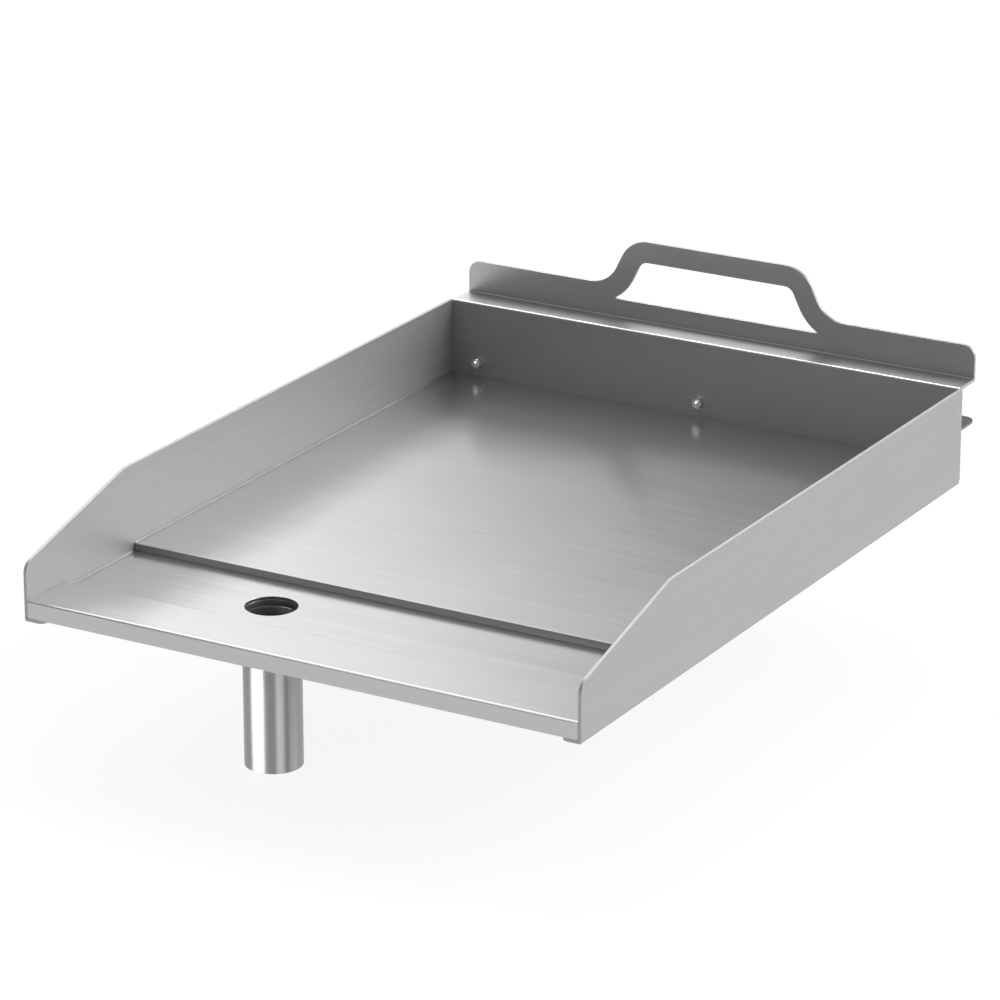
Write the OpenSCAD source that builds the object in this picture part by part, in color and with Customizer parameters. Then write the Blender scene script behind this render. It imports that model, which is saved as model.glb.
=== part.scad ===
/* [Tray] */
// Width over the outside of the side walls
body_w = 356; // [300:1:460]
// Length of the side walls, from their front edge to the back panel
wall_l = 466.8; // [400:0.2:560]
// Thickness of the folded sheet
sheet = 2; // [1.5:0.1:2.5]
// Inside radius of the folds
fold_r = 0.4; // [0.2:0.1:0.6]
// Outside radius of the folds, small because the sheets are grooved before they are folded
fold_out = 1.2; // [0.8:0.1:1.5]

/* [Side walls] */
// Height of the side walls beside the griddle plate
wall_h = 60.5; // [50:0.5:80]
// Height of the side walls at their front edge, before the nose is rounded
nose_h = 34; // [28:0.5:40]
// Slope of the side walls' upper edge behind the nose, in degrees
nose_slope = 15; // [12:1:30]
// Radius of the nose
nose_r = 8; // [4:0.5:12]
// Width of the flange folded in under the tray
flange_w = 12.5; // [10:0.5:18]
// Radius of the flange's corners
flange_r = 4; // [2:0.5:6]

/* [Griddle and gutter] */
// Thickness of the griddle plate, which is also how far it stands above the gutter
griddle_t = 4.5; // [3:0.5:6]
// Height of the gutter's floor above the underside of the tray
gutter_z = 8; // [7:0.5:10]
// Depth of the level rim behind the front lip
rim_d = 36; // [25:0.5:45]
// Run of the slope that leads from the rim down into the gutter
ramp_run = 7.8; // [6:0.2:12]
// Distance from the back of the rim to the front of the griddle plate
gutter_d = 70.5; // [64:0.5:90]
// How far the gutter pan runs on under the griddle plate
pan_lap = 25; // [15:1:40]

/* [Drain] */
// Distance of the drain from the tray's centre line, negative to the left
drain_x = -60; // [-120:1:120]
// Diameter of the drain hole in the gutter and in the collar
drain_hole_d = 30.2; // [24:0.1:31]
// Outside diameter of the drain tube
tube_od = 33.7; // [33:0.1:38]
// Wall thickness of the drain tube
tube_wall = 1.5; // [1:0.1:2]
// Thickness that the weld groove leaves at the drain tube's upper end
tube_land = 0.5; // [0.3:0.1:0.7]
// How far the drain tube reaches below the underside of the tray
tube_drop = 87; // [50:1:120]
// Outside diameter of the collar between gutter and tube
collar_od = 46; // [42:0.5:50]
// Thickness of the collar
collar_t = 4; // [3:0.5:5]

/* [Back panel and handle] */
// Depth of the ledge, from the back wall's inside to the handle plate
ledge_d = 20.5; // [14:0.5:30]
// Height of the handle plate's shoulders above the ledge
shoulder_h = 20.4; // [16:0.2:30]
// Radius of the shoulders' outer corners
shoulder_r = 8; // [4:0.5:15]
// How far the handle rises above the shoulders
handle_rise = 31.1; // [28:0.1:45]
// Width of the handle's top, between the sharp corners before rounding
handle_top_w = 120.2; // [96:0.2:150]
// Width of the bar that the hand holds
handle_bar = 13.4; // [10:0.2:16]
// Angle of the handle's two ends from the horizontal, in degrees
handle_angle = 64; // [50:1:70]
// Radius inside the grip's upper corners
grip_r = 6.8; // [4:0.2:9]
// Radius where the handle's ends run out into the shoulders
root_r = 20.5; // [12:0.5:24]
// Height of the grip opening's sill above the ledge
sill_h = 11.5; // [10:0.5:14]

/* [Rear bracket] */
// Thickness of the rear bracket's sheet
bracket_t = 1.5; // [1:0.1:2]
// Height of the bracket's upright leg
bracket_leg = 25; // [18:0.5:28]
// Depth of the bracket's level flange, with the leg's thickness
bracket_flange = 25; // [18:0.5:40]
// Height of the flange's upper face above the underside of the tray
bracket_top = 33.7; // [30:0.1:40]
// Radius of the flange's back corners
bracket_r = 8; // [2:0.5:12]

/* [Fasteners] */
// Number of screws that hold the rear bracket
screw_count = 3; // [2:1:5]
// Distance of the outer screws from the bracket's ends
screw_inset = 18; // [10:0.5:30]
// Diameter of the screws
screw_d = 3; // [2.5:0.5:4]
// Play around a screw in the sheets, on the radius
screw_play = 0.2; // [0.1:0.05:0.4]
// Play between a screw's crests and its nut, on the radius
thread_play = 0.05; // [0.02:0.01:0.1]
// How far the screws stand out past their nuts
screw_past = 1.1; // [0.5:0.1:3]
// Diameter of the screw heads
head_d = 5.7; // [5:0.1:8]
// Height of the screw heads
head_h = 1.9; // [1.4:0.1:3]
// Width across the flats of the socket in a head
socket_af = 2; // [1.5:0.1:2.5]
// Depth of the socket in a head
socket_depth = 1.1; // [0.8:0.1:1.2]
// Diameter of the washers
washer_d = 7; // [6.4:0.1:9]
// Thickness of the washers
washer_t = 0.5; // [0.3:0.1:1]
// Width across the flats of the nuts
nut_af = 5.5; // [5:0.1:7]
// Height of the nuts
nut_h = 2.4; // [1.8:0.1:3.2]

/* [Welds] */
// Leg of the seams along the side walls, inside the tray
seam_leg = 1.2; // [0.8:0.1:2]
// Leg of the stitches under the griddle plate and behind the lip
stitch_leg = 2; // [1.5:0.1:3]
// Length of one stitch
stitch_l = 30; // [20:1:40]
// Number of stitches across the tray
stitch_count = 5; // [3:1:6]
// Leg of the ring weld around the collar
ring_leg = 3; // [2:0.1:4]
// Height at which the back corners' beads start
bead_start = 2.5; // [1:0.5:6]

/* [Hidden] */
$fn = 96;
// Added to cutting tools so that they run clear of the faces they cut
over = 1;
// Added to the radius of an arc between slanting edges, so that it crosses them and doesn't only touch
crossing = 0.002;

half_w = body_w / 2;
inner_w = body_w - 2 * sheet;
// How far the centre of a fold's inside radius lies from the sheet's outer faces
fold_centre = fold_r + sheet;
rim_z = gutter_z + griddle_t;
pan_underside = gutter_z - sheet;
ramp_angle = atan(griddle_t / ramp_run);
griddle_y = rim_d + gutter_d;
pan_back = griddle_y + pan_lap;
drain_y = rim_d + gutter_d / 2;
collar_z = pan_underside - collar_t;
tube_id = tube_od - 2 * tube_wall;
tube_groove = tube_wall - tube_land;
panel_back = wall_l + sheet;
handle_y = wall_l + ledge_d;
handle_top = shoulder_h + handle_rise;
grip_out_r = grip_r + handle_bar;
root_x = handle_top_w / 2 + handle_rise / tan(handle_angle) + root_r * tan(handle_angle / 2);
root_y = shoulder_h + root_r;
bracket_back = panel_back + bracket_t;
screw_z = bracket_top - bracket_leg / 2;
screw_span = inner_w - 2 * screw_inset;
screw_hole_d = screw_d + 2 * screw_play;
nut_face = wall_l - washer_t;
screw_l = panel_back + bracket_t - nut_face + washer_t + nut_h + screw_past;
total_d = max(handle_y + sheet, panel_back + bracket_flange);

// Moves the tray so that its box stands on the origin, drain tube down
module stand() {
    translate([0, -total_d / 2, tube_drop]) children();
}

// Extrudes an outline drawn in Y and Z evenly to both sides of the centre line
module across(w) {
    rotate([90, 0, 90]) linear_extrude(w, center = true) children();
}

// Extrudes an outline drawn in X and Z from one Y to another
module along(y_from, y_to) {
    translate([0, y_to, 0]) rotate([90, 0, 0]) linear_extrude(y_to - y_from) children();
}

// Quarter disc in the first quadrant
module quarter_disc(r) {
    intersection() {
        circle(r);
        square(r);
    }
}

// What a rounded corner of radius r loses, the corner being at the origin
module corner_waste(r) {
    difference() {
        translate([-over, -over]) square(r + over);
        translate([r, r]) circle(r);
    }
}

// What a rounded corner of any angle loses. The corner is at the origin, one edge leaves
// it along +X with the solid below, and the other leaves it turned down by the angle.
module arc_waste(r, turn) {
    reach = r * tan(turn / 2);
    difference() {
        polygon([
            [reach, -r],
            [reach, over],
            [-over * tan(turn / 2), over],
            [-reach * cos(turn) - over * sin(turn), -reach * sin(turn) + over * cos(turn)]
        ]);
        translate([reach, -r]) circle(r + crossing);
    }
}

// Side walls

module wall_section() {
    difference() {
        polygon([
            [half_w - flange_w, 0], [half_w, 0],
            [half_w, wall_h + over], [half_w - sheet, wall_h + over],
            [half_w - sheet, fold_centre], [half_w - fold_centre, fold_centre],
            [half_w - fold_centre, sheet], [half_w - flange_w, sheet]
        ]);
        translate([half_w, 0]) mirror([1, 0]) corner_waste(fold_out);
        translate([half_w - fold_centre, fold_centre]) circle(fold_r);
    }
}

module wall_outline() {
    slope_run = (wall_h - nose_h) / tan(nose_slope);
    difference() {
        polygon([
            [0, -over], [wall_l + over, -over], [wall_l + over, wall_h],
            [slope_run, wall_h], [0, nose_h]
        ]);
        translate([0, nose_h]) rotate(nose_slope) arc_waste(nose_r, 90 - nose_slope);
    }
}

module side_wall() {
    difference() {
        intersection() {
            along(-over, wall_l) wall_section();
            across(body_w + 2 * over) wall_outline();
        }
        translate([half_w - flange_w, 0, -over]) linear_extrude(sheet + 2 * over) corner_waste(flange_r);
    }
}

// Griddle plate and gutter pan

module at_drain(z) {
    translate([drain_x, drain_y, z]) children();
}

module drain_bore(d, from_z, to_z) {
    at_drain(from_z) cylinder(h = to_z - from_z, d = d);
}

module pan_section() {
    inset = sheet * tan(ramp_angle / 2);
    difference() {
        polygon([
            [0, sheet], [0, rim_z],
            [rim_d, rim_z], [rim_d + ramp_run, gutter_z],
            [pan_back, gutter_z], [pan_back, pan_underside],
            [rim_d + ramp_run - inset, pan_underside], [rim_d - inset, rim_z - sheet],
            [fold_centre, rim_z - sheet], [fold_centre, rim_z - fold_centre],
            [sheet, rim_z - fold_centre], [sheet, sheet]
        ]);
        translate([0, rim_z]) mirror([0, 1]) corner_waste(fold_out);
        translate([fold_centre, rim_z - fold_centre]) circle(fold_r);
    }
}

module gutter_pan() {
    color("silver") stand() difference() {
        across(inner_w) pan_section();
        drain_bore(drain_hole_d, pan_underside - over, rim_z);
        // Reliefs that clear the side walls' folds
        for (side = [-1, 1])
            translate([side * inner_w / 2, sheet / 2, sheet])
                cube([2 * fold_r, sheet + 2 * over, 2 * fold_r], center = true);
    }
}

module griddle_plate() {
    color("gainsboro") stand()
        translate([-inner_w / 2, griddle_y, gutter_z]) cube([inner_w, wall_l - griddle_y, griddle_t]);
}

module left_side_wall() {
    color("silver") stand() mirror([1, 0, 0]) side_wall();
}

module right_side_wall() {
    color("silver") stand() side_wall();
}

// Back panel with its ledge and handle, folded from one sheet

module panel_section() {
    difference() {
        polygon([
            [wall_l, 0], [wall_l, wall_h],
            [handle_y - fold_r, wall_h], [handle_y - fold_r, wall_h + fold_r],
            [handle_y, wall_h + fold_r], [handle_y, wall_h + handle_top + over],
            [handle_y + sheet, wall_h + handle_top + over], [handle_y + sheet, wall_h - sheet],
            [wall_l + fold_centre, wall_h - sheet], [wall_l + fold_centre, wall_h - fold_centre],
            [wall_l + sheet, wall_h - fold_centre], [wall_l + sheet, 0]
        ]);
        translate([wall_l, wall_h]) mirror([0, 1]) corner_waste(fold_out);
        translate([handle_y + sheet, wall_h - sheet]) mirror([1, 0]) corner_waste(fold_out);
        translate([wall_l + fold_centre, wall_h - fold_centre]) circle(fold_r);
        translate([handle_y - fold_r, wall_h + fold_r]) circle(fold_r);
    }
}

// Point on the handle's end, at a distance from the root arc's centre
function root_point(side, r) = [
    side * (root_x - r * sin(handle_angle)),
    wall_h + root_y - r * cos(handle_angle)
];

module both_sides() {
    for (side = [0, 1]) mirror([side, 0]) children();
}

// The grip opening, whose lower corners flare out so that the bar keeps its width
module grip_opening() {
    half_top = handle_top_w / 2 - handle_bar * tan(handle_angle / 2);
    top = wall_h + handle_top - handle_bar;
    sill = wall_h + sill_h;
    flare_r = root_r + handle_bar;
    difference() {
        polygon([
            [-root_x, sill], root_point(-1, flare_r), [-half_top, top],
            [half_top, top], root_point(1, flare_r), [root_x, sill]
        ]);
        both_sides() {
            translate([-half_top, top]) arc_waste(grip_r, handle_angle);
            translate([-root_x, wall_h + root_y]) circle(flare_r + crossing);
        }
    }
}

module panel_outline() {
    half_top = handle_top_w / 2;
    shoulder_z = wall_h + shoulder_h;
    top = wall_h + handle_top;
    difference() {
        polygon([
            [-inner_w / 2, -over], [-inner_w / 2, shoulder_z],
            [-root_x, shoulder_z], [-root_x, wall_h + root_y], root_point(-1, root_r),
            [-half_top, top], [half_top, top],
            root_point(1, root_r), [root_x, wall_h + root_y], [root_x, shoulder_z],
            [inner_w / 2, shoulder_z], [inner_w / 2, -over]
        ]);
        both_sides() {
            translate([inner_w / 2, shoulder_z]) rotate(180) corner_waste(shoulder_r);
            translate([-half_top, top]) arc_waste(grip_out_r, handle_angle);
            translate([-root_x, wall_h + root_y]) circle(root_r + crossing);
        }
        grip_opening();
    }
}

// Repeats its children at each screw, with Z pointing forwards into the tray
module at_screws(y) {
    for (i = [0:screw_count - 1])
        translate([-screw_span / 2 + i * screw_span / (screw_count - 1), y, screw_z])
            rotate([90, 0, 0]) children();
}

module back_panel() {
    color("silver") stand() difference() {
        intersection() {
            across(inner_w + 2 * over) panel_section();
            along(wall_l - over, total_d + over) panel_outline();
        }
        at_screws(panel_back + over) cylinder(h = sheet + 2 * over, d = screw_hole_d);
    }
}

// Rear bracket and its fasteners

module bracket_section() {
    bend = fold_r + bracket_t;
    bottom = bracket_top - bracket_leg;
    flange_end = panel_back + bracket_flange;
    difference() {
        polygon([
            [panel_back, bottom], [panel_back, bracket_top],
            [flange_end, bracket_top], [flange_end, bracket_top - bracket_t],
            [panel_back + bend, bracket_top - bracket_t], [panel_back + bend, bracket_top - bend],
            [bracket_back, bracket_top - bend], [bracket_back, bottom]
        ]);
        translate([panel_back, bracket_top]) mirror([0, 1]) corner_waste(fold_out);
        translate([panel_back + bend, bracket_top - bend]) circle(fold_r);
    }
}

module rear_bracket() {
    color("silver") stand() difference() {
        across(inner_w) bracket_section();
        for (side = [0, 1])
            mirror([side, 0, 0])
                translate([inner_w / 2, panel_back + bracket_flange, bracket_top - bracket_t - over])
                    rotate(180) linear_extrude(bracket_t + 2 * over) corner_waste(bracket_r);
        at_screws(bracket_back + over) cylinder(h = bracket_t + 2 * over, d = screw_hole_d);
    }
}

module bracket_screws() {
    dome = head_h / 2;
    tip = screw_d / 8;
    color("lightgray") stand() at_screws(bracket_back + washer_t) difference() {
        rotate_extrude() {
            polygon([
                [0, -head_h], [head_d / 2 - dome, -head_h], [head_d / 2 - dome, -dome],
                [head_d / 2, -dome], [head_d / 2, 0], [screw_d / 2, 0],
                [screw_d / 2, screw_l - tip], [screw_d / 2 - tip, screw_l], [0, screw_l]
            ]);
            translate([head_d / 2 - dome, -dome]) mirror([0, 1]) quarter_disc(dome);
        }
        translate([0, 0, -head_h - over])
            cylinder(h = socket_depth + over, d = socket_af / cos(30), $fn = 6);
    }
}

module washer() {
    difference() {
        cylinder(h = washer_t, d = washer_d);
        translate([0, 0, -over]) cylinder(h = washer_t + 2 * over, d = screw_hole_d);
    }
}

module bracket_head_washers() {
    color("lightgray") stand() at_screws(bracket_back + washer_t) washer();
}

module bracket_nut_washers() {
    color("lightgray") stand() at_screws(wall_l) washer();
}

module bracket_nuts() {
    corner_d = nut_af / cos(30);
    chamfer = (corner_d - nut_af) / 2 * tan(30);
    color("lightgray") stand() at_screws(nut_face) difference() {
        intersection() {
            cylinder(h = nut_h, d = corner_d, $fn = 6);
            rotate_extrude() polygon([
                [0, 0], [nut_af / 2, 0], [corner_d / 2, chamfer],
                [corner_d / 2, nut_h - chamfer], [nut_af / 2, nut_h], [0, nut_h]
            ]);
        }
        translate([0, 0, -over]) cylinder(h = nut_h + 2 * over, d = screw_d + 2 * thread_play);
    }
}

// Drain

module drain_collar() {
    color("silver") stand() difference() {
        drain_bore(collar_od, collar_z, pan_underside);
        drain_bore(drain_hole_d, collar_z - over, pan_underside + over);
    }
}

// The tube, whose upper end is bevelled so that its weld leaves the outside clear for a hose
module drain_tube() {
    height = collar_z + tube_drop;
    color("gainsboro") stand() at_drain(-tube_drop) rotate_extrude() polygon([
        [tube_id / 2, 0], [tube_od / 2, 0], [tube_od / 2, height - tube_groove],
        [tube_od / 2 - tube_groove, height], [tube_id / 2, height]
    ]);
}

// Welds

// Triangular section in the corner between the +X and +Y axes
module bead_section(leg) {
    polygon([[0, 0], [leg, 0], [0, leg]]);
}

// Repeats a stitch evenly across the tray, its section drawn in Y and Z
module stitches() {
    pitch = (inner_w - 2 * flange_w - stitch_l) / (stitch_count - 1);
    for (i = [0:stitch_count - 1])
        translate([(i - (stitch_count - 1) / 2) * pitch, 0, 0]) across(stitch_l) children();
}

module right_seams() {
    translate([inner_w / 2, 0, 0]) {
        along(rim_d + ramp_run, griddle_y) translate([0, gutter_z]) mirror([1, 0]) bead_section(seam_leg);
        along(griddle_y, wall_l) translate([0, rim_z]) mirror([1, 0]) bead_section(seam_leg);
    }
}

module left_seam_welds() {
    color("darkgray") stand() mirror([1, 0, 0]) right_seams();
}

module right_seam_welds() {
    color("darkgray") stand() right_seams();
}

// Beads that fill the notch between the walls' ends and the back panel's edges
module back_corner_welds() {
    color("darkgray") stand()
        for (side = [0, 1])
            mirror([side, 0, 0]) translate([inner_w / 2, wall_l, bead_start])
                linear_extrude(wall_h - fold_out - bead_start) quarter_disc(sheet);
}

module back_stitch_welds() {
    color("darkgray") stand() stitches()
        translate([wall_l, gutter_z]) rotate(180) bead_section(stitch_leg);
}

module lap_stitch_welds() {
    color("darkgray") stand() stitches()
        translate([pan_back, gutter_z]) mirror([0, 1]) bead_section(sheet);
}

module lip_tack_welds() {
    tack_l = flange_w - flange_r - fold_centre;
    color("darkgray") stand()
        for (side = [0, 1])
            mirror([side, 0, 0]) translate([half_w - fold_centre - tack_l / 2, 0, 0])
                across(tack_l) translate([sheet, sheet]) bead_section(stitch_leg);
}

module collar_weld() {
    color("darkgray") stand() at_drain(pan_underside) rotate_extrude()
        translate([collar_od / 2, 0]) mirror([0, 1]) bead_section(ring_leg);
}

module tube_weld() {
    color("darkgray") stand() at_drain(collar_z) rotate_extrude()
        translate([tube_od / 2, 0]) rotate(180) bead_section(tube_groove);
}

griddle_plate();
gutter_pan();
left_side_wall();
right_side_wall();
back_panel();
rear_bracket();
drain_collar();
drain_tube();
bracket_screws();
bracket_head_washers();
bracket_nut_washers();
bracket_nuts();
left_seam_welds();
right_seam_welds();
back_corner_welds();
back_stitch_welds();
lap_stitch_welds();
lip_tack_welds();
collar_weld();
tube_weld();
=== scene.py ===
"""Camp griddle plate in brushed stainless steel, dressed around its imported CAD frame.

The CAD nodes keep their shapes and get steel finishes and broken edges. The screws and most
weld beads are built again here with threads and ripples, in the places that their nodes hold.
"""

import math

import bmesh
import bpy
from mathutils import Matrix, Vector


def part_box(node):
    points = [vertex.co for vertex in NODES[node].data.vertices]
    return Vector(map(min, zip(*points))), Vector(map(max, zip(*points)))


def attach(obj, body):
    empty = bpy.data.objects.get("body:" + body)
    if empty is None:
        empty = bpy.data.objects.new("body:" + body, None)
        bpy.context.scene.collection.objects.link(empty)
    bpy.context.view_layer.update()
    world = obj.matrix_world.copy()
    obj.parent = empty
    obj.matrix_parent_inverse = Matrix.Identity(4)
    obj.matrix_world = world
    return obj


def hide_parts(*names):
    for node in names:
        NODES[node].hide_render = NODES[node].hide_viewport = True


bl_info = {
    "name": "Camp griddle plate",
    "version": (1, 0, 0),
    "blender": (4, 5, 0),
    "location": "3D View > Sidebar > Griddle",
    "description": "Dresses a camp griddle plate in brushed steel and sets up its studio",
    "category": "Object",
}

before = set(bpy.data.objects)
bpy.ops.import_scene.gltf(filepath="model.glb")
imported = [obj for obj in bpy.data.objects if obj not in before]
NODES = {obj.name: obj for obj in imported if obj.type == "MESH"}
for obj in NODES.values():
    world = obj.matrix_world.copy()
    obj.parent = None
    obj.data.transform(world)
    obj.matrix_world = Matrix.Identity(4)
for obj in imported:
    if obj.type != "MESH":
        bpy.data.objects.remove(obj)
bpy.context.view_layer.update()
BODY = "root"
MM = 0.001
FULL_TURN = 2 * math.pi

X_AXIS = Vector((1, 0, 0))
Y_AXIS = Vector((0, 1, 0))
Z_AXIS = Vector((0, 0, 1))

# How close two places are before they count as one.
SAME_PLACE = 0.001 * MM

# The axes that hairlines run along have a small number.
ALONG_X = (0.012, 1, 1)
ALONG_Y = (1, 0.012, 1)
ALONG_Z = (1, 1, 0.02)
ROUND_Z = (1, 1, 6)
EVERY_WAY = (1, 1, 1)

# Detail and roughness of the noise in each layer of a finish.
HAIR_NOISE = (3.0, 0.65)
BAND_NOISE = (2.0, 0.5)
CLOUD_NOISE = (3.0, 0.55)
SCALE_NOISE = (4.0, 0.6)

# Where a finish's mottle turns from its darkest to its lightest colour.
MOTTLE_RISE = (0.3, 0.7)

# Faces that differ by less are flat together, and edges that turn more are broken.
FLAT = math.radians(0.3)
SHARP = math.radians(25)

# Steps across a bead's face and along each of its ripples, and the size that its ends keep.
BEAD_STEPS = 8
RIPPLE_STEPS = 8
BEAD_END = 0.02

# Steps along a turn of the thread, over the head's dome and round a screw, and a screw's axis.
THREAD_STEPS = 8
DOME_STEPS = 6
SCREW_SIDES = 48
AXLE = 0.02 * MM

# Where the ceiling and the front wall set in and are full, as a share of straight up and ahead.
CEILING_RISE = (0.5, 0.8)
FRONT_RISE = (0.1, 0.7)


# Shader expressions


def add_node(tree, kind, settings=None, inputs=None, output=0):
    """Add a node of any type. Its settings are made first, then its sockets get values or links."""
    node = tree.nodes.new(kind)
    for name, value in (settings or {}).items():
        setattr(node, name, value)
    for key, value in (inputs or {}).items():
        if isinstance(value, Field):
            tree.links.new(value.socket, node.inputs[key])
        else:
            node.inputs[key].default_value = value
    if not node.outputs:
        return None
    return Field(tree, node.outputs[output])


class Field:
    """An output of a shader node. Python's operators on it add Math nodes."""

    def __init__(self, tree, socket):
        self.tree = tree
        self.socket = socket

    def node(self, kind, settings=None, inputs=None, output=0):
        return add_node(self.tree, kind, settings, inputs, output)

    def math(self, operation, *terms):
        return self.node("ShaderNodeMath", {"operation": operation}, dict(enumerate(terms)))

    def __add__(self, other):
        return self.math("ADD", self, other)

    def __radd__(self, other):
        return self.math("ADD", other, self)

    def __sub__(self, other):
        return self.math("SUBTRACT", self, other)

    def __rsub__(self, other):
        return self.math("SUBTRACT", other, self)

    def __mul__(self, other):
        return self.math("MULTIPLY", self, other)

    def __rmul__(self, other):
        return self.math("MULTIPLY", other, self)

    def rise(self, low, high):
        """0 below low and 1 above high, with a smooth rise between them."""
        return self.node(
            "ShaderNodeMapRange",
            {"interpolation_type": "SMOOTHSTEP"},
            {"Value": self, "From Min": low, "From Max": high},
        )

    def stretched(self, factors):
        """This vector with each of its parts multiplied by a number of its own."""
        return self.node(
            "ShaderNodeVectorMath", {"operation": "MULTIPLY"}, {0: self, 1: factors}
        )

    def towards(self, direction):
        """How far this vector points in a direction."""
        return self.node(
            "ShaderNodeVectorMath", {"operation": "DOT_PRODUCT"}, {0: self, 1: direction}, "Value"
        )

    def noise(self, scale, detail, roughness):
        """Noise between about 0 and 1 at this place."""
        return self.node(
            "ShaderNodeTexNoise",
            inputs={"Vector": self, "Scale": scale, "Detail": detail, "Roughness": roughness},
            output="Fac",
        )

    def blend(self, first, second):
        """A colour that goes from the first to the second as this value goes from 0 to 1."""
        return self.node(
            "ShaderNodeMix", {"data_type": "RGBA"}, {"Factor": self, 6: first, 7: second}, 2
        )


def opaque(colour, share=1.0):
    return tuple(part * share for part in colour[:3]) + (1.0,)


def new_tree(owner):
    owner.use_nodes = True
    owner.node_tree.nodes.clear()
    return owner.node_tree


# Finishes


def steel_surface(tree, grain, shade=1.0, roughness=0.0, depth=1.0, drawn=0.0):
    """Stainless steel with hairlines. They run along the axes where grain is a small number."""
    finish = bpy.context.scene.griddle_finish
    place = add_node(tree, "ShaderNodeTexCoord", output="Object")
    hairs = place.stretched([finish.hairs * g for g in grain]).noise(1.0, *HAIR_NOISE)
    bands = place.stretched([finish.bands * g for g in grain]).noise(1.0, *BAND_NOISE)
    clouds = place.noise(finish.clouds, *CLOUD_NOISE)
    cloud_share = 1 - finish.hair_share - finish.band_share
    mottle = finish.hair_share * hairs + finish.band_share * bands + cloud_share * clouds
    return add_node(
        tree,
        "ShaderNodeBsdfPrincipled",
        inputs={
            # shade scales the steel's colour: a piece made with less than 1 carries painted shade,
            # and one made with more carries a painted highlight.
            "Base Color": mottle.rise(*MOTTLE_RISE).blend(
                opaque(finish.colour, shade * (1 - finish.variation)),
                opaque(finish.colour, shade * (1 + finish.variation)),
            ),
            "Metallic": finish.metallic,
            "Anisotropic": drawn,
            "Anisotropic Rotation": finish.streak_turn,
            "Roughness": mottle * finish.roughness_spread
            + (finish.roughness + roughness - finish.roughness_spread / 2),
            "Normal": add_node(
                tree,
                "ShaderNodeBump",
                inputs={
                    "Strength": 1.0,
                    "Distance": finish.grain_depth * depth,
                    "Height": hairs + finish.band_relief * bands,
                },
            ),
        },
    )


def brushed_steel(name, grain, **settings):
    """A material with one steel surface all over."""
    material = bpy.data.materials.new(name)
    tree = new_tree(material)
    surface = steel_surface(tree, grain, **settings)
    add_node(tree, "ShaderNodeOutputMaterial", inputs={"Surface": surface})
    return material


def tube_steel(name, axis, radius):
    """Drawn tube with upright streaks outside, and plain steel inside a radius round its upright
    axis. Both are painted darker than the steel: painted shade for the dark bands outside, and
    deeper painted shade in the bore.
    """
    material = bpy.data.materials.new(name)
    tree = new_tree(material)
    # Painted shade: about half the steel's colour deepens the dark bands that the outside mirrors.
    outside = steel_surface(tree, ALONG_Z, shade=0.52, roughness=0.17, depth=0.3, drawn=0.95)
    # Deeper painted shade for the dim bore.
    inside = steel_surface(tree, ALONG_Z, shade=0.42, roughness=0.12)
    place = add_node(tree, "ShaderNodeTexCoord", output="Object")
    east = place.towards(X_AXIS) - axis.x
    north = place.towards(Y_AXIS) - axis.y
    reach = east * east + north * north
    # The mask of the bore, which gets the deeper painted shade.
    bore_painted_shade = reach.math("LESS_THAN", reach, radius**2)
    surface = add_node(tree, "ShaderNodeMixShader", inputs={0: bore_painted_shade, 1: outside, 2: inside})
    add_node(tree, "ShaderNodeOutputMaterial", inputs={"Surface": surface})
    return material


def weld_steel(name):
    """Weld metal: duller than the sheet, with a faint straw tint from the heat."""
    finish = bpy.context.scene.griddle_finish
    welds = bpy.context.scene.griddle_welds
    material = bpy.data.materials.new(name)
    tree = new_tree(material)
    place = add_node(tree, "ShaderNodeTexCoord", output="Object")
    scale = place.noise(welds.scale_spots, *SCALE_NOISE)
    patches = place.noise(welds.patches, *BAND_NOISE)
    mottle = welds.scale_share * scale + (1 - welds.scale_share) * patches
    surface = add_node(
        tree,
        "ShaderNodeBsdfPrincipled",
        inputs={
            "Base Color": mottle.rise(*MOTTLE_RISE).blend(
                opaque(welds.heat_tint), opaque(finish.colour, welds.shade)
            ),
            "Metallic": 1.0,
            "Roughness": welds.roughness + welds.roughness_spread * scale,
            "Normal": add_node(
                tree,
                "ShaderNodeBump",
                inputs={"Strength": 1.0, "Distance": welds.scale_depth, "Height": scale},
            ),
        },
    )
    add_node(tree, "ShaderNodeOutputMaterial", inputs={"Surface": surface})
    return material


# Meshes


def dress(node, material, edge):
    """Give a CAD node its finish, flat shading on its flat faces and broken edges."""
    piece = NODES[node]
    piece.data.materials.clear()
    piece.data.materials.append(material)
    weld = piece.modifiers.new("Join faces", "WELD")
    weld.merge_threshold = SAME_PLACE
    flat = piece.modifiers.new("Flat faces", "DECIMATE")
    flat.decimate_type = "DISSOLVE"
    flat.angle_limit = FLAT
    bevel = piece.modifiers.new("Broken edges", "BEVEL")
    bevel.width = edge
    bevel.segments = 2
    bevel.limit_method = "ANGLE"
    bevel.angle_limit = SHARP
    shading = piece.modifiers.new("Flat shading", "WEIGHTED_NORMAL")
    shading.weight = 100
    return piece


def new_piece(name, mesh, material, nodes):
    """Put a finished bmesh in the scene, in the place of its CAD nodes."""
    bmesh.ops.recalc_face_normals(mesh, faces=mesh.faces)
    data = bpy.data.meshes.new(name)
    mesh.to_mesh(data)
    mesh.free()
    data.materials.append(material)
    data.shade_smooth()
    piece = bpy.data.objects.new(name, data)
    bpy.context.scene.collection.objects.link(piece)
    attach(piece, BODY)
    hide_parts(*nodes)
    return piece


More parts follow.
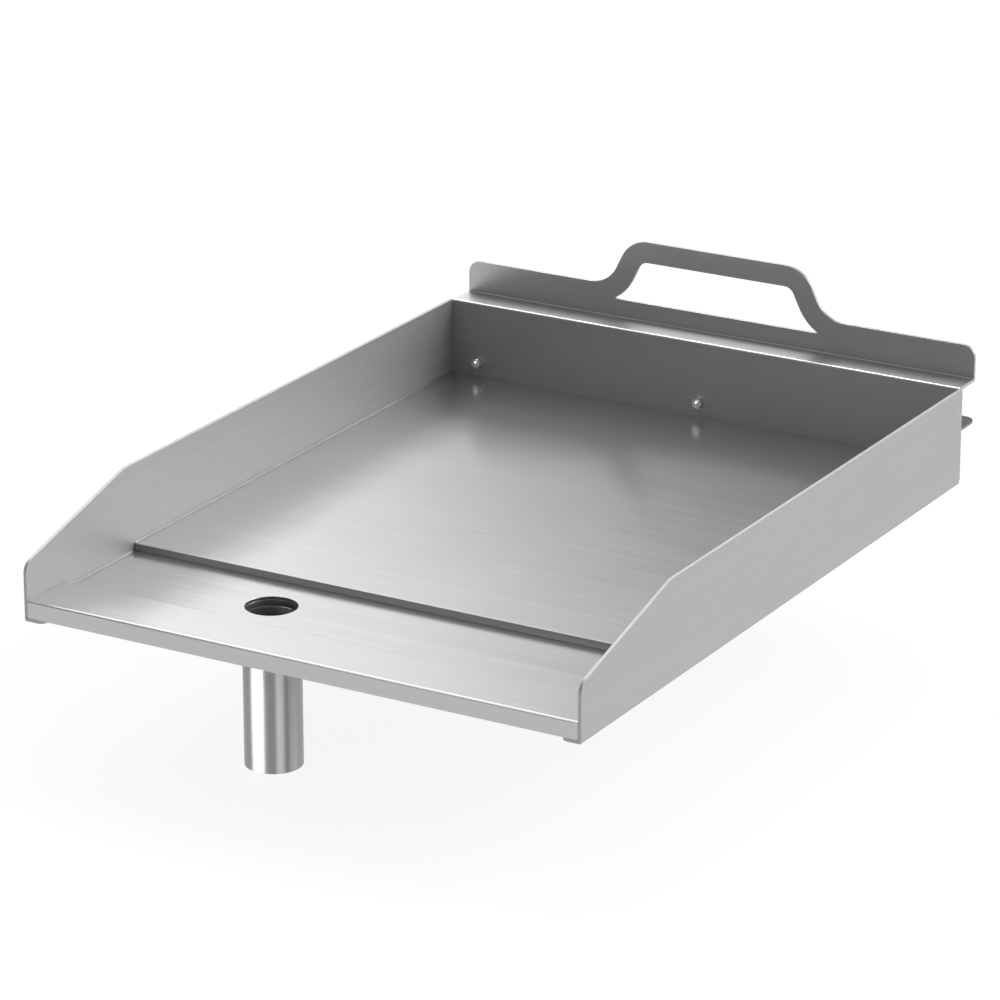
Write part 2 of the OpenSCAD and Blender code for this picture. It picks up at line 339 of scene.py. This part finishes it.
def solid_boxes(node):
    """The box of each separate solid in a CAD node, from left to right."""
    mesh = bmesh.new()
    mesh.from_mesh(NODES[node].data)
    bmesh.ops.remove_doubles(mesh, verts=mesh.verts, dist=SAME_PLACE)
    left = set(mesh.verts)
    boxes = []
    while left:
        found = {left.pop()}
        edge_of = list(found)
        while edge_of:
            near = {e.other_vert(v) for v in edge_of for e in v.link_edges} - found
            found |= near
            edge_of = list(near)
        left -= found
        places = [v.co for v in found]
        low = Vector(min(p[i] for p in places) for i in range(3))
        high = Vector(max(p[i] for p in places) for i in range(3))
        boxes.append((low, high))
    mesh.free()
    return sorted(boxes, key=lambda box: (round(box[0].x, 4), round(box[0].y, 4)))


def skin(mesh, rings, closed=False):
    """Join rings of the same number of points with faces. Without closed, both ends are capped."""
    made = [[mesh.verts.new(point) for point in ring] for ring in rings]
    count = len(made[0])
    pairs = list(zip(made, made[1:] + made[:1]))
    for one, two in pairs if closed else pairs[:-1]:
        for i in range(count):
            j = (i + 1) % count
            mesh.faces.new((one[i], one[j], two[j], two[i]))
    if not closed:
        mesh.faces.new(made[0])
        mesh.faces.new(made[-1])


def turned(mesh, profile, place, count):
    """Turn a profile of (height, radius at an angle) round an axis at a place."""
    rings = []
    for height, radius in profile:
        rings.append(
            [
                place
                @ Vector(
                    (
                        radius(FULL_TURN * i / count) * math.cos(FULL_TURN * i / count),
                        radius(FULL_TURN * i / count) * math.sin(FULL_TURN * i / count),
                        height,
                    )
                )
                for i in range(count)
            ]
        )
    skin(mesh, rings)


def bead_ring(corner, first, second, leg, swell):
    """Points round a weld bead's section: its root, and a bulging face between its two legs."""
    welds = bpy.context.scene.griddle_welds
    points = [corner]
    for i in range(BEAD_STEPS + 1):
        t = i / BEAD_STEPS
        bulge = 1 + welds.bulge * math.sin(math.pi * t)
        reach = leg * min(1.0, bulge * (1 - swell(t)))
        points.append(corner + (first * (1 - t) + second * t) * reach)
    return points


def ripple_at(distance, pitch):
    """How far a bead's surface lies under its crest, across its section at a distance."""
    welds = bpy.context.scene.griddle_welds

    def depth(t):
        lag = welds.crescent * pitch * (1 - (2 * t - 1) ** 2)
        phase = ((distance + lag) / pitch) % 1.0
        return welds.ripple_height * (1 - math.sqrt(max(0.0, 1 - (2 * phase - 1) ** 2)))

    return depth


def straight_bead(mesh, box, along, first, second):
    """A rippled bead that fills a box, with its root on the edge that both sides point away from."""
    welds = bpy.context.scene.griddle_welds
    low, high = box
    size = high - low
    root = Vector(
        low[i] if (first + second)[i] > 0 or along[i] else high[i] for i in range(3)
    )
    length = size.dot(along)
    leg = size.dot(Vector(map(abs, first)))
    pitch = welds.ripple_pitch * leg
    count = max(RIPPLE_STEPS, round(length / pitch * RIPPLE_STEPS))
    rings = []
    for i in range(count + 1):
        distance = length * i / count
        end = min(distance, length - distance) / leg
        taper = math.sqrt(max(BEAD_END, 1 - max(0.0, 1 - end) ** 2))
        swell = ripple_at(distance, pitch)
        rings.append(bead_ring(root + along * distance, first, second, leg * taper, swell))
    skin(mesh, rings)


def round_bead(mesh, centre, radius, outward, leg, first_down):
    """A rippled bead round a vertical piece."""
    welds = bpy.context.scene.griddle_welds
    ripples = round(FULL_TURN * radius / (welds.ripple_pitch * leg))
    pitch = FULL_TURN * radius / ripples
    count = ripples * RIPPLE_STEPS
    rings = []
    for i in range(count):
        angle = FULL_TURN * i / count
        away = Vector((math.cos(angle), math.sin(angle), 0))
        swell = ripple_at(angle * radius, pitch)
        rings.append(
            bead_ring(centre + away * radius, away * outward, Z_AXIS * first_down, leg, swell)
        )
    skin(mesh, rings, closed=True)


# Lamps


def compass(side, height):
    """The direction to a point at an angle right of the back and an angle above the horizon."""
    level = math.cos(height)
    return Vector((math.sin(side) * level, math.cos(side) * level, math.sin(height)))


def middle(node):
    """The middle of a CAD node's box."""
    low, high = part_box(node)
    return (low + high) / 2


def place_lamp(data, place, away):
    """Add a lamp that shines against a direction."""
    lamp = bpy.data.objects.new(data.name, data)
    lamp.location = place
    lamp.rotation_mode = "QUATERNION"
    lamp.rotation_quaternion = away.to_track_quat("Z", "Y")
    bpy.context.scene.collection.objects.link(lamp)
    return lamp


# Settings


def length(name, description, default):
    return bpy.props.FloatProperty(
        name=name, description=description, default=default, unit="LENGTH", precision=6
    )


def number(name, description, default):
    return bpy.props.FloatProperty(name=name, description=description, default=default)


def colour(name, description, default):
    return bpy.props.FloatVectorProperty(
        name=name, description=description, default=default, subtype="COLOR", size=3
    )


def angle(name, description, degrees):
    return bpy.props.FloatProperty(
        name=name, description=description, default=math.radians(degrees), subtype="ANGLE"
    )


class GriddleFinish(bpy.types.PropertyGroup):
    """The brushed steel of the sheets, the plate and the tube."""

    colour: colour("Steel colour", "Colour of the bare stainless steel", (0.458, 0.458, 0.458))
    variation: number("Variation", "How far the colour varies along the grain", 0.04)
    roughness: number("Roughness", "How dull the brushed surfaces are", 0.21)
    roughness_spread: number("Roughness spread", "How far the roughness varies", 0.09)
    metallic: number("Metallic", "How much of the surface mirrors as bare metal", 0.89)
    streak_turn: number("Streak turn", "Turn that lays a drawn tube's streaks upright", 0.25)
    hair_share: number("Hairline share", "Share of the hairlines in the mottle", 0.45)
    band_share: number("Band share", "Share of the broader bands in the mottle", 0.35)
    band_relief: number("Band relief", "Depth of the bands as a share of the hairlines", 0.5)
    hairs: number("Hairlines", "Hairlines in a metre across the grain", 1700.0)
    bands: number("Bands", "Broader bands in a metre across the grain", 260.0)
    clouds: number("Clouds", "Cloudy patches in a metre", 14.0)
    grain_depth: length("Grain depth", "Depth of the hairlines", 0.0000025)
    sheet_edge: length("Sheet edges", "How far the edges of the sheets are broken", 0.00022)
    plate_edge: length("Plate edges", "How far the cooking plate's edges are broken", 0.0003)
    small_edge: length("Small edges", "How far the small parts' edges are broken", 0.00012)
    nut_edge: length("Nut edges", "How far the corners of the nuts are turned off", 0.0004)


class GriddleWelds(bpy.types.PropertyGroup):
    """The weld beads."""

    ripple_pitch: number("Ripple pitch", "Distance of the ripples as a share of a leg", 0.75)
    ripple_height: number("Ripple height", "Height of the ripples as a share of a leg", 0.16)
    crescent: number("Crescent", "How far the ripples bow, as a share of their distance", 0.45)
    bulge: number("Bulge", "How far a bead's face swells past a straight line", 0.38)
    shade: number("Shade", "Colour of clean weld metal as a share of the steel's", 0.6)
    roughness: number("Roughness", "How dull the clean weld metal is", 0.35)
    roughness_spread: number("Roughness spread", "How much duller the scale is", 0.2)
    patches: number("Patches", "Broad patches of scale in a metre", 56.0)
    scale_share: number("Scale share", "Share of the fine spots in the mottle", 0.7)
    scale_depth: length("Scale depth", "Depth of the fine spots", 0.000005)
    scale_spots: number("Spots", "Spots of weld scale in a metre", 900.0)
    heat_tint: colour("Heat tint", "Colour where the heat has tinted the bead", (0.20, 0.19, 0.175))


class GriddleDrain(bpy.types.PropertyGroup):
    """The drain."""

    tube_wall: length("Tube wall", "Thickness of the drain tube", 0.0015)


class GriddleScrews(bpy.types.PropertyGroup):
    """The screws of the rear bracket."""

    radius: length("Thread radius", "Radius over the crests of the thread", 0.0015)
    pitch: length("Thread pitch", "Distance between two turns of the thread", 0.0005)
    thread_depth: length("Thread depth", "Depth of the thread", 0.00027)
    point: length("Point", "Length of the point that is turned down", 0.000375)
    head_height: length("Head height", "Height of the head", 0.0019)
    chamfer: length("Chamfer", "How far the head's rim is turned off", 0.0001)
    socket: length("Socket", "Width across the flats of the socket", 0.002)
    socket_depth: length("Socket depth", "Depth of the socket in the head", 0.0011)
    socket_lead: length("Socket lead", "How far the socket's mouth is opened", 0.00008)


class GriddleStage(bpy.types.PropertyGroup):
    """The studio."""

    floor_colour: colour("Floor", "Colour of the floor", (0.93, 0.93, 0.93))
    floor_reach: length("Floor reach", "How far the floor goes each way", 40.0)
    floor_glow: number("Floor glow", "How far the floor shows as plain white", 0.88)
    room: number("Room", "Brightness of the dim studio walls", 0.22)
    ceiling: number("Ceiling", "Brightness that the ceiling adds overhead", 0.6)
    front: number("Front", "Brightness that the wall in front of the tray adds", 0.05)
    left_softbox: number("Left softbox", "Brightness of the softbox behind on the left", 1.4)
    right_softbox: number("Right softbox", "Brightness of the softbox behind on the right", 4.8)
    softbox_side: angle("Softbox side", "How far a softbox stands to the side of the back", 57)
    softbox_height: angle("Softbox height", "Height of the softboxes above the horizon", 30)
    softbox_size: angle("Softbox size", "Half of the angle that a softbox fills", 27)
    softbox_edge: angle("Softbox edge", "How far the edge of a softbox fades", 3)
    strip: number("Strip light", "Brightness of the strip light for the drain tube", 20.0)
    strip_side: angle("Strip side", "Where the strip light stands, right of the back", -151)
    strip_width: length("Strip width", "Width of the strip light", 0.58)
    fill: number("Fill strip", "Brightness of the weaker strip for the drain tube", 7.0)
    fill_side: angle("Fill side", "Where the weaker strip stands, right of the back", 122)
    fill_width: length("Fill width", "Width of the weaker strip", 0.32)
    rear: number("Rear panel", "Brightness of the panel behind the drain tube", 3.8)
    rear_side: angle("Rear side", "Where the rear panel stands, right of the back", 43)
    rear_width: length("Rear width", "Width of the rear panel", 1.2)
    strip_distance: length("Strip distance", "Distance from the tube to its strips", 0.6)
    strip_height: length("Strip height", "Height of the tube's strips", 0.5)
    card_distance: length("Card distance", "Distance from the other pieces to their panels", 1.2)
    nut: number("Nut light", "Brightness of the panel that lights the nuts", 14.0)
    nut_side: angle("Nut side", "Where that panel stands, right of the back", -151)
    nut_height: angle("Nut light height", "Height of that panel above the horizon", 45)
    nut_size: length("Nut light size", "Width and height of that panel", 0.5)
    ledge: number("Ledge light", "Brightness of the panel that lights the ledge", 12.0)
    ledge_side: angle("Ledge side", "Where that panel stands, right of the back", -40)
    ledge_height: angle("Ledge light height", "Height of that panel above the horizon", 55)
    ledge_size: length("Ledge light size", "Width and height of that panel", 0.5)
    lip: number("Lip light", "Brightness of the panel that lights the front lip's fold", 2.2)
    lip_side: angle("Lip side", "Where that panel stands, right of the back", -150)
    lip_height: angle("Lip light height", "Height of that panel above the horizon", 45)
    lip_size: length("Lip light size", "Width and height of that panel", 0.5)
    key_strength: number("Key light", "Strength of the soft key light", 1.0)
    key_height: angle("Key height", "Height of the key light above the horizon", 52)
    key_side: angle("Key side", "How far the key light stands to the left of the back", 35)
    key_size: angle("Key size", "How wide the key light looks", 50)


# Operators


class GRIDDLE_OT_sheets(bpy.types.Operator):
    """Finish the folded sheets of the tray"""

    bl_idname = "griddle.sheets"
    bl_label = "Tray sheets"

    def execute(self, context):
        edge = context.scene.griddle_finish.sheet_edge
        across = brushed_steel("Sheet brushed across", ALONG_X)
        dull_across = brushed_steel("Back panel steel", ALONG_X, roughness=0.14)
        # The side walls are painted a little darker than the other sheets, a slight painted shade
        # that tones down the bright floor they mirror.
        lengthways = brushed_steel("Sheet brushed lengthways painted darker", ALONG_Y, shade=0.91, roughness=0.38)
        dress("gutter_pan", across, edge)
        dress("back_panel", dull_across, edge)
        for node in ("left_side_wall", "right_side_wall"):
            dress(node, lengthways, edge)
        return {"FINISHED"}


class GRIDDLE_OT_plate(bpy.types.Operator):
    """Finish the cooking plate"""

    bl_idname = "griddle.plate"
    bl_label = "Cooking plate"

    def execute(self, context):
        steel = brushed_steel("Brushed cooking plate", ALONG_X, roughness=0.01)
        dress("griddle_plate", steel, context.scene.griddle_finish.plate_edge)
        return {"FINISHED"}


class GRIDDLE_OT_bracket(bpy.types.Operator):
    """Finish the rear bracket"""

    bl_idname = "griddle.bracket"
    bl_label = "Rear bracket"

    def execute(self, context):
        # The bracket is painted at half the steel's colour, a painted shade for the dark
        # surroundings it mirrors.
        steel = brushed_steel("Brushed bracket painted dark", ALONG_X, shade=0.5)
        dress("rear_bracket", steel, context.scene.griddle_finish.sheet_edge)
        return {"FINISHED"}


class GRIDDLE_OT_drain(bpy.types.Operator):
    """Finish the drain's collar and tube"""

    bl_idname = "griddle.drain"
    bl_label = "Drain"

    def execute(self, context):
        edge = context.scene.griddle_finish.sheet_edge
        low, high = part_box("drain_tube")
        bore = (high.x - low.x) / 2 - context.scene.griddle_drain.tube_wall / 2
        drawn = tube_steel("Drawn tube", (low + high) / 2, bore)
        # The collar is painted darker, a painted shade for the dim drain hole that it lines.
        turned_steel = brushed_steel("Turned collar painted dark", ROUND_Z, shade=0.75, roughness=0.12)
        dress("drain_tube", drawn, edge)
        dress("drain_collar", turned_steel, edge)
        return {"FINISHED"}


class GRIDDLE_OT_fasteners(bpy.types.Operator):
    """Build the threaded screws and finish their nuts and washers"""

    bl_idname = "griddle.fasteners"
    bl_label = "Bracket fasteners"

    def execute(self, context):
        finish = context.scene.griddle_finish
        # The nuts and screws are painted at twice the steel's colour, a painted highlight.
        bright = brushed_steel(
            "Fasteners painted bright", EVERY_WAY, shade=2.0, roughness=-0.12, depth=0.5
        )
        # The washers are painted darker, a painted shade ring round the nuts.
        washer = brushed_steel("Washer steel painted dark", EVERY_WAY, shade=0.7, roughness=0.05, depth=0.5)
        dress("bracket_nuts", bright, finish.nut_edge)
        dress("bracket_nut_washers", washer, finish.small_edge)
        dress("bracket_head_washers", washer, finish.small_edge)
        mesh = bmesh.new()
        for low, high in solid_boxes("bracket_screws"):
            self.screw(mesh, context.scene.griddle_screws, low, high)
        new_piece("screws", mesh, bright, ["bracket_screws"])
        return {"FINISHED"}

    def screw(self, mesh, settings, low, high):
        """A button head screw that points forwards, from the box of its CAD solid."""
        head_r = (high.x - low.x) / 2
        total = high.y - low.y
        head_h = settings.head_height
        crest = settings.radius
        root = crest - settings.thread_depth
        dome = head_h / 2
        pitch = settings.pitch
        lead = settings.socket_lead
        chamfer = settings.chamfer

        def hexagon(a):
            return settings.socket / 2 / math.cos((a % (math.pi / 3)) - math.pi / 6)

        def circle(radius):
            return lambda a: radius

        def thread(height):
            def radius(a):
                phase = (height / pitch - a / FULL_TURN) % 1.0
                rise = max(0.0, 1 - abs(2 * phase - 1) * 1.15)
                return min(root + settings.thread_depth * min(1.0, rise * 1.3), crest)

            return radius

        profile = [
            (settings.socket_depth, circle(AXLE)),
            (settings.socket_depth, hexagon),
            (lead, hexagon),
            (0.0, lambda a: hexagon(a) + lead),
        ]
        for i in range(DOME_STEPS + 1):
            turn = math.pi / 2 * i / DOME_STEPS
            profile.append(
                (dome - dome * math.cos(turn), circle(head_r - dome + dome * math.sin(turn)))
            )
        profile += [(head_h - chamfer, circle(head_r)), (head_h, circle(head_r - chamfer))]
        profile.append((head_h, circle(crest)))
        step = pitch / THREAD_STEPS
        for i in range(1, int((total - head_h) / step)):
            height = i * step
            if total - head_h - height < settings.point:
                break
            profile.append((head_h + height, thread(height)))
        profile.append((total - settings.point, circle(crest - chamfer)))
        profile.append((total, circle(crest - settings.point)))
        profile.append((total, circle(AXLE)))
        centre = Vector(((low.x + high.x) / 2, high.y, (low.z + high.z) / 2))
        forwards = Matrix.Rotation(math.pi / 2, 4, "X")
        turned(mesh, profile, Matrix.Translation(centre) @ forwards, SCREW_SIDES)


class GRIDDLE_OT_welds(bpy.types.Operator):
    """Build the rippled weld beads"""

    bl_idname = "griddle.welds"
    bl_label = "Weld beads"

    def execute(self, context):
        steel = weld_steel("Weld metal")
        self.straight("left_seams", "left_seam_welds", steel, Y_AXIS, X_AXIS, Z_AXIS)
        self.straight("right_seams", "right_seam_welds", steel, Y_AXIS, -X_AXIS, Z_AXIS)
        self.straight("back_stitches", "back_stitch_welds", steel, X_AXIS, -Y_AXIS, -Z_AXIS)
        self.straight("lap_stitches", "lap_stitch_welds", steel, X_AXIS, Y_AXIS, -Z_AXIS)
        self.straight("lip_tacks", "lip_tack_welds", steel, X_AXIS, Y_AXIS, Z_AXIS)
        ground = brushed_steel("Ground corner beads", ALONG_Z, roughness=0.05)
        dress("back_corner_welds", ground, context.scene.griddle_finish.small_edge)
        self.collar(steel)
        self.tube(steel)
        return {"FINISHED"}

    def straight(self, name, node, steel, along, first, second):
        mesh = bmesh.new()
        for box in solid_boxes(node):
            straight_bead(mesh, box, along, first, second)
        new_piece(name, mesh, steel, [node])

    def collar(self, steel):
        """The bead in the corner between the gutter's underside and the collar."""
        low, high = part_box("collar_weld")
        leg = high.z - low.z
        centre = Vector(((low.x + high.x) / 2, (low.y + high.y) / 2, high.z))
        mesh = bmesh.new()
        round_bead(mesh, centre, (high.x - low.x) / 2 - leg, 1, leg, -1)
        new_piece("collar_bead", mesh, steel, ["collar_weld"])

    def tube(self, steel):
        dress("tube_weld", steel, bpy.context.scene.griddle_finish.small_edge)


class GRIDDLE_OT_stage(bpy.types.Operator):
    """Set up the floor, the lights and the camera"""

    bl_idname = "griddle.stage"
    bl_label = "Studio"

    def execute(self, context):
        stage = context.scene.griddle_stage
        self.floor(stage)
        self.sky(stage)
        self.lamps(stage)
        self.camera(context)
        context.scene.view_settings.view_transform = "Standard"
        return {"FINISHED"}

    def floor(self, stage):
        """A plain floor that shows as nearly white, and keeps the tray's shadow."""
        half = stage.floor_reach
        mesh = bmesh.new()
        corners = [(-half, -half, 0), (half, -half, 0), (half, half, 0), (-half, half, 0)]
        mesh.faces.new([mesh.verts.new(corner) for corner in corners])
        data = bpy.data.meshes.new("floor")
        mesh.to_mesh(data)
        mesh.free()
        material = bpy.data.materials.new("Pale floor")
        tree = new_tree(material)
        ray = {
            name: add_node(tree, "ShaderNodeLightPath", output=f"Is {name} Ray")
            for name in ("Camera", "Glossy", "Transmission")
        }
        seen = ray["Camera"] + ray["Glossy"] + ray["Transmission"]
        paint = add_node(
            tree, "ShaderNodeBsdfDiffuse", inputs={"Color": opaque(stage.floor_colour)}
        )
        glow = add_node(tree, "ShaderNodeEmission", inputs={"Color": (1, 1, 1, 1)})
        surface = add_node(
            tree,
            "ShaderNodeMixShader",
            inputs={0: seen * stage.floor_glow, 1: paint, 2: glow},
        )
        add_node(tree, "ShaderNodeOutputMaterial", inputs={"Surface": surface})
        data.materials.append(material)
        floor = bpy.data.objects.new("floor", data)
        bpy.context.scene.collection.objects.link(floor)

    def sky(self, stage):
        """A dim studio with a pale ceiling, and a softbox on each side behind the tray."""
        world = bpy.data.worlds.new("Studio")
        bpy.context.scene.world = world
        tree = new_tree(world)
        view = add_node(tree, "ShaderNodeTexCoord", output="Generated")
        level = (
            stage.room
            + stage.ceiling * view.towards(Z_AXIS).rise(*CEILING_RISE)
            + stage.front * view.towards(-Y_AXIS).rise(*FRONT_RISE)
        )
        for side, strength in ((-1, stage.left_softbox), (1, stage.right_softbox)):
            centre = compass(side * stage.softbox_side, stage.softbox_height)
            inside = view.towards(centre).rise(
                math.cos(stage.softbox_size), math.cos(stage.softbox_size - stage.softbox_edge)
            )
            level = level + strength * inside
        sky = add_node(
            tree, "ShaderNodeBackground", inputs={"Color": (1, 1, 1, 1), "Strength": level}
        )
        add_node(tree, "ShaderNodeOutputWorld", inputs={"Surface": sky})

    def lamps(self, stage):
        """A soft key light from the back left, and panels that light single pieces."""
        data = bpy.data.lights.new("Key light", "SUN")
        data.energy = stage.key_strength
        data.angle = stage.key_size
        place_lamp(data, Vector((0, 0, 0)), compass(-stage.key_side, stage.key_height))
        self.tube_strips(stage)
        self.nut_light(stage)
        self.ledge_light(stage)
        self.lip_light(stage)

    def tube_strips(self, stage):
        """Upright strips for the bright bands that run down the drain tube."""
        tube = [NODES["drain_tube"]]
        centre = middle("drain_tube")
        centre.z = stage.strip_height / 2
        for side, strength, width in (
            (stage.strip_side, stage.strip, stage.strip_width),
            (stage.fill_side, stage.fill, stage.fill_width),
            (stage.rear_side, stage.rear, stage.rear_width),
        ):
            away = compass(side, 0)
            size = (width, stage.strip_height)
            self.panel("Tube strip", tube, centre, away, stage.strip_distance, size, strength)

    def nut_light(self, stage):
        nuts = [NODES["bracket_nuts"], bpy.data.objects["screws"]]
        away = compass(stage.nut_side, stage.nut_height)
        self.card("Nut light", nuts, middle("bracket_nuts"), away, stage.nut_size, stage.nut)

    def ledge_light(self, stage):
        """A panel behind the handle, that shines over it on the ledge."""
        panel = [NODES["back_panel"], NODES["rear_bracket"]]
        away = compass(stage.ledge_side, stage.ledge_height)
        self.card("Ledge light", panel, middle("back_panel"), away, stage.ledge_size, stage.ledge)

    def lip_light(self, stage):
        """A panel in front, that the round fold of the lip mirrors."""
        low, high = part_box("gutter_pan")
        fold = Vector(((low.x + high.x) / 2, low.y, high.z))
        away = compass(stage.lip_side, stage.lip_height)
        self.card("Lip light", [NODES["gutter_pan"]], fold, away, stage.lip_size, stage.lip)

    def card(self, name, pieces, target, away, side, strength):
        """A square panel at the usual distance."""
        distance = bpy.context.scene.griddle_stage.card_distance
        self.panel(name, pieces, target, away, distance, (side, side), strength)

    def panel(self, name, pieces, target, away, distance, size, strength):
        """Light some pieces alone, with a panel that the camera doesn't see."""
        receivers = bpy.data.collections.new(name)
        for piece in pieces:
            receivers.objects.link(piece)
        data = bpy.data.lights.new(name, "AREA")
        data.shape = "RECTANGLE"
        data.size, data.size_y = size
        data.energy = strength * math.pi * data.size * data.size_y
        lamp = place_lamp(data, target + away * distance, away)
        lamp.visible_camera = False
        lamp.light_linking.receiver_collection = receivers

    def camera(self, context):
        """The camera where the photograph was taken from, measured from the tray's edges."""
        data = bpy.data.cameras.new("Camera")
        data.lens = 176.519
        data.sensor_width = 36
        data.shift_x = -0.0005
        data.shift_y = 0.0005
        data.clip_start = 0.1
        data.clip_end = 200
        right = Vector((0.865394, 0.501091, -0.00008))
        up = Vector((-0.171244, 0.295892, 0.939747))
        back = Vector((0.470923, -0.813238, 0.341872))
        camera = bpy.data.objects.new("Camera", data)
        turn = Matrix((right, up, back)).transposed().to_4x4()
        camera.matrix_world = Matrix.Translation((1.33093, -2.32227, 1.08707)) @ turn
        context.scene.collection.objects.link(camera)
        context.scene.camera = camera


PIECES = (
    GRIDDLE_OT_sheets,
    GRIDDLE_OT_plate,
    GRIDDLE_OT_bracket,
    GRIDDLE_OT_drain,
    GRIDDLE_OT_fasteners,
    GRIDDLE_OT_welds,
    GRIDDLE_OT_stage,
)

SETTINGS = {
    "griddle_finish": GriddleFinish,
    "griddle_welds": GriddleWelds,
    "griddle_drain": GriddleDrain,
    "griddle_screws": GriddleScrews,
    "griddle_stage": GriddleStage,
}


class GRIDDLE_PT_sidebar(bpy.types.Panel):
    """The griddle's pieces and settings"""

    bl_idname = "GRIDDLE_PT_sidebar"
    bl_label = "Camp griddle plate"
    bl_space_type = "VIEW_3D"
    bl_region_type = "UI"
    bl_category = "Griddle"

    def draw(self, context):
        for piece in PIECES:
            self.layout.operator(piece.bl_idname)
        for name, group in SETTINGS.items():
            box = self.layout.box()
            for field in group.__annotations__:
                box.prop(getattr(context.scene, name), field)


def register():
    for group in (*SETTINGS.values(), *PIECES, GRIDDLE_PT_sidebar):
        bpy.utils.register_class(group)
    for name, group in SETTINGS.items():
        setattr(bpy.types.Scene, name, bpy.props.PointerProperty(type=group))


def unregister():
    for name in SETTINGS:
        delattr(bpy.types.Scene, name)
    for group in (GRIDDLE_PT_sidebar, *reversed(PIECES), *reversed(SETTINGS.values())):
        bpy.utils.unregister_class(group)


def main():
    register()
    for piece in PIECES:
        group, name = piece.bl_idname.split(".")
        getattr(getattr(bpy.ops, group), name)()


if __name__ == "__main__":
    main()
